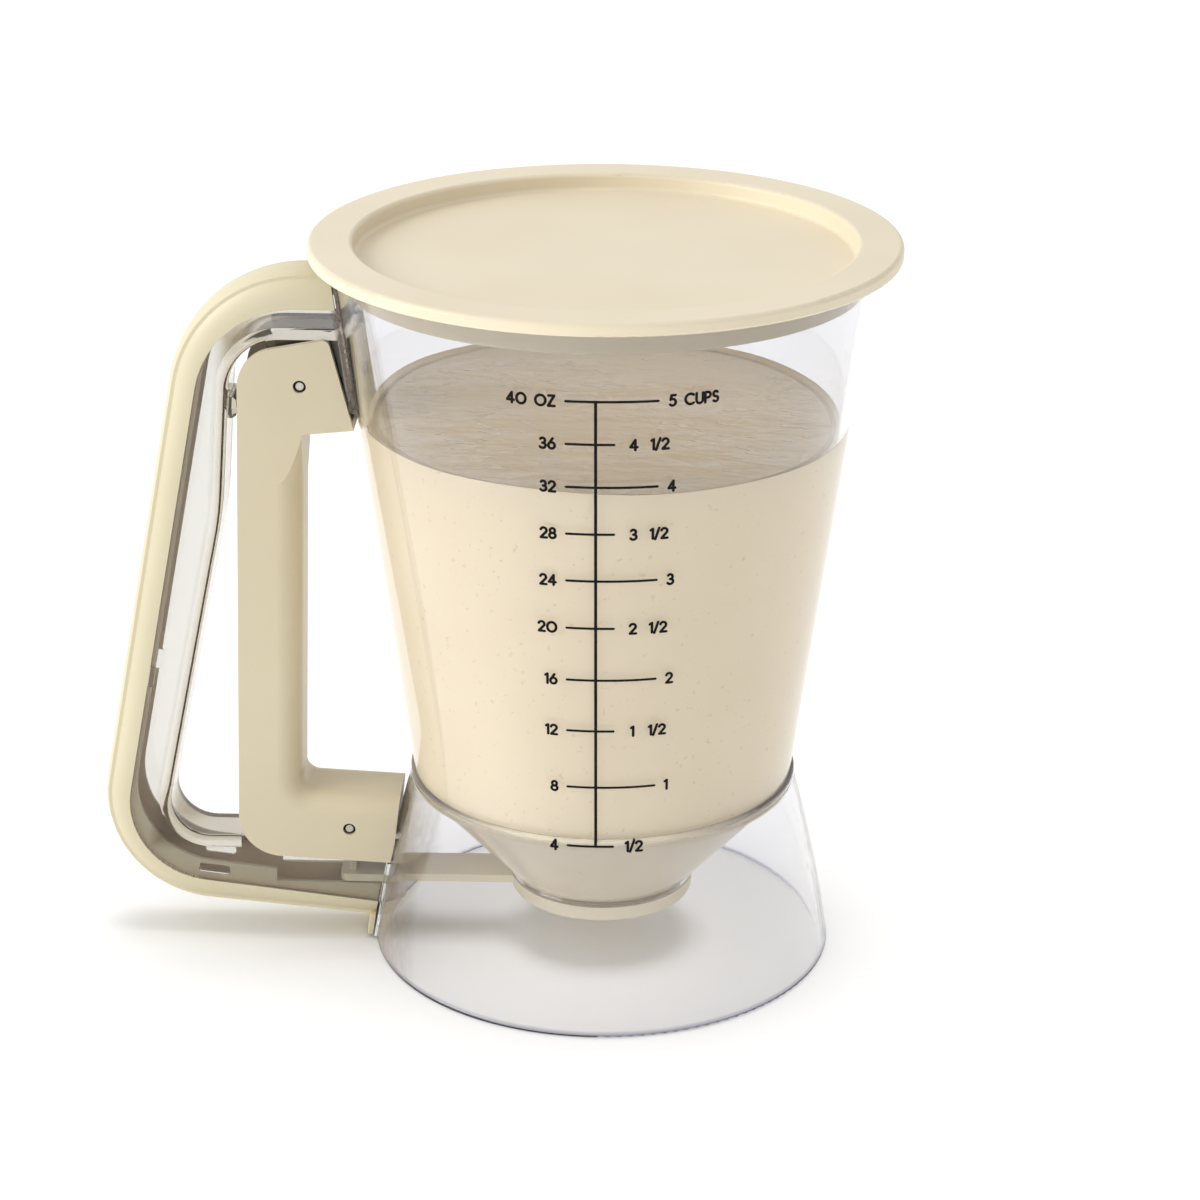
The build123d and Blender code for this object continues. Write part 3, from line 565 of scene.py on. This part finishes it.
def scale_print():
    """Lines, numbers and words, drawn flat with short bars and round dots, then wrapped on the wall."""
    mesh = bpy.data.meshes.new("scale_print")
    bm = bmesh.new()
    for points, width in scale_strokes():
        points = [Vector((*point, 0)) for point in dense(points, BAR_LENGTH)]
        for start, end in zip(points, points[1:]):
            along = end - start
            turn = Matrix.Rotation(math.atan2(along.y, along.x), 4, "Z")
            size = Matrix.Diagonal((along.length, width, 1, 1))
            place = Matrix.Translation((start + end) / 2) @ turn @ size
            bmesh.ops.create_grid(bm, x_segments=1, y_segments=1, size=0.5, matrix=place)
        for point in points:
            bmesh.ops.create_circle(bm, cap_ends=True, segments=DOT_SEGMENTS, radius=width / 2,
                                    matrix=Matrix.Translation(point))
    for corner in bm.verts:
        corner.co = on_wall(corner.co.x, corner.co.y)
    bm.to_mesh(mesh)
    bm.free()
    ink = Look("scale_ink", Roughness=0.6, Specular_IOR_Level=0.15)
    ink.put("Base Color", ink.mix(ink.noise(3.0).ramp(0.3, 0.7), linear(8, 6, 6), linear(18, 15, 14)))
    return piece("scale_print", mesh, ink.mat, "dispenser")


fill = batter()
scale_print()


# ---- Studio ----

# The main camera: its lens, its place, and its turn, downward tilt and roll in radians
SENSOR, LENS, LENS_SHIFT = 36.0, 97.94, 0.00465
CAMERA_PLACE = (0.0230, -0.7598, 0.3967)
CAMERA_PAN, CAMERA_DOWN, CAMERA_ROLL = 0.0314, 0.3828, 0.0052
CLIP = (0.05, 50.0)

# The table: half its width and its drop under the foot in metres, its white, and the glow that
# takes over where the light from above fades, with the distances over which it does, in millimetres
TABLE_HALF = 6.0
TABLE_DROP = 0.0002
TABLE_WHITE = (0.92, 0.92, 0.92)
TABLE_GLOW = (0.45, 0.45, 0.45)
GLOW_START, GLOW_FULL = 700.0, 1900.0

# Strength of the surroundings at the horizon and overhead, what is added at the left, and their tone
HORIZON, OVERHEAD = 0.58, 0.8
LEFT_GLOW = 0.35
SKY_TONE = (1.0, 0.997, 0.99)


def camera():
    data = bpy.data.cameras.new("camera")
    data.sensor_width = SENSOR
    data.lens = LENS
    data.shift_y = LENS_SHIFT
    data.clip_start, data.clip_end = CLIP
    cam = bpy.data.objects.new("camera", data)
    pan = Matrix.Rotation(CAMERA_PAN, 4, "Z")
    tilt = Matrix.Rotation(math.pi / 2 - CAMERA_DOWN, 4, "X")
    roll = Matrix.Rotation(CAMERA_ROLL, 4, "Z")
    cam.matrix_world = Matrix.Translation(CAMERA_PLACE) @ pan @ tilt @ roll
    bpy.context.scene.collection.objects.link(cam)
    bpy.context.scene.camera = cam


def floor():
    """White table; far out it glows by itself."""
    mesh = bpy.data.meshes.new("floor")
    bm = bmesh.new()
    bmesh.ops.create_grid(bm, x_segments=1, y_segments=1, size=TABLE_HALF)
    bm.to_mesh(mesh)
    bm.free()
    plane = bpy.data.objects.new("floor", mesh)
    plane.location = (0, 0, -TABLE_DROP)
    bpy.context.scene.collection.objects.link(plane)
    look = Look("floor_white", Roughness=0.9, Emission_Strength=1.0)
    look.shader.inputs["Base Color"].default_value = rgba(TABLE_WHITE)
    glow = look.radius().ramp(GLOW_START, GLOW_FULL)
    look.put("Emission Color", look.mix(glow, (0, 0, 0), TABLE_GLOW))
    mesh.materials.append(look.mat)
    return plane


def world():
    """Soft box all round, brightest overhead and at the left, and white wherever it is seen."""
    studio = bpy.data.worlds.new("studio")
    studio.use_nodes = True
    bpy.context.scene.world = studio
    sky = Tree(studio.node_tree)
    way = sky.node("TexCoord", {}, {}, "Generated")
    up = sky.node("SeparateXYZ", {}, {"Vector": way}, "Z")
    right = sky.node("SeparateXYZ", {}, {"Vector": way}, "X")
    tone = up.ramp(0.0, 0.75, HORIZON, OVERHEAD, "SMOOTHSTEP")
    tone = tone + right.ramp(0.1, -0.95, 0.0, LEFT_GLOW, "SMOOTHSTEP")
    seen = sky.node("LightPath", {}, {}, "Is Camera Ray")
    for kind in ("Is Transmission Ray", "Is Glossy Ray"):
        seen = seen.at_least(sky.node("LightPath", {}, {}, kind))
    back = studio.node_tree.nodes["Background"]
    back.inputs["Color"].default_value = rgba(SKY_TONE)
    studio.node_tree.links.new((tone + seen * (1.0 - tone)).out, back.inputs["Strength"])


def group(name, objects):
    made = bpy.data.collections.new(name)
    for obj in objects:
        made.objects.link(obj)
    return made


def area_light(name, place, aim, size, power):
    """Area light in metres and watts, turned to the point it is aimed at."""
    data = bpy.data.lights.new(name, "AREA")
    data.shape = "RECTANGLE"
    data.size, data.size_y = size
    data.energy = power
    lamp = bpy.data.objects.new(name, data)
    lamp.location = place
    lamp.rotation_euler = (Vector(aim) - Vector(place)).to_track_quat("-Z", "Y").to_euler()
    bpy.context.scene.collection.objects.link(lamp)
    return lamp


def linked_light(name, lights, shades, **where):
    """Area light that reaches only the objects in lights, and that only those in shades stop."""
    linking = area_light(name, **where).light_linking
    linking.receiver_collection = group(name + "_lights", lights)
    linking.blocker_collection = group(name + "_shades", shades)


camera()
table = floor()
world()

# The key from the upper left lights all but the table.
key = area_light("key", place=(-1.4, -0.45, 0.95), aim=(0, 0, 0.1), size=(0.9, 0.9), power=14.6)
key.light_linking.receiver_collection = group("key_misses", [table])
key.light_linking.receiver_collection.collection_objects[0].light_linking.link_state = "EXCLUDE"

# The table has its own light from above. Only the handle's cream pieces and the gate shade it, so
# that the table stays bright inside the clear skirt.
shades = [frame["nodes"][node] for node in ("handle_cover", "trigger", "gate")]
linked_light("floor_light", [table], shades,
             place=(0, 0.1, 1.6), aim=(0, 0, 0), size=(0.9, 0.9), power=9.4)

# A narrower part of it is shaded by the batter too, which darkens the table under the funnel.
linked_light("core_light", [table], shades + [fill],
             place=(0, 0, 1.6), aim=(0, 0, 0), size=(0.5, 0.5), power=3.3)

# The batter and the lid are lit from the lower left, and the clear walls don't stop that light.
linked_light("front", [fill, frame["nodes"]["lid"]], shades,
             place=(-1.0, -0.7, -0.9), aim=(0, 0, 0.1), size=(0.5, 0.5), power=6.4)

# A light from the upper front reaches the gate and its arm under the vessel.
linked_light("gate_light", [frame["nodes"]["gate"]], shades + [fill],
             place=(-0.3, -1.0, 0.8), aim=(-0.03, 0, 0.02), size=(0.5, 0.5), power=3.5)

# A light from the right reaches the batter through the clear walls too.
linked_light("right", [fill], shades,
             place=(1.0, -0.1, 0.0), aim=(0, 0, 0.08), size=(0.4, 0.4), power=1.3)

# A light from behind reaches the batter's top, and only the lid shades it.
linked_light("back", [fill], [frame["nodes"]["lid"]],
             place=(0.15, 1.3, 0.75), aim=(0, 0, 0.14), size=(0.5, 0.3), power=1.2)

scene = bpy.context.scene
scene.view_settings.view_transform = "Standard"
scene.cycles.max_bounces = 24
scene.cycles.diffuse_bounces = 10
scene.cycles.transmission_bounces = 16
scene.cycles.transparent_max_bounces = 16
scene.cycles.glossy_bounces = 8
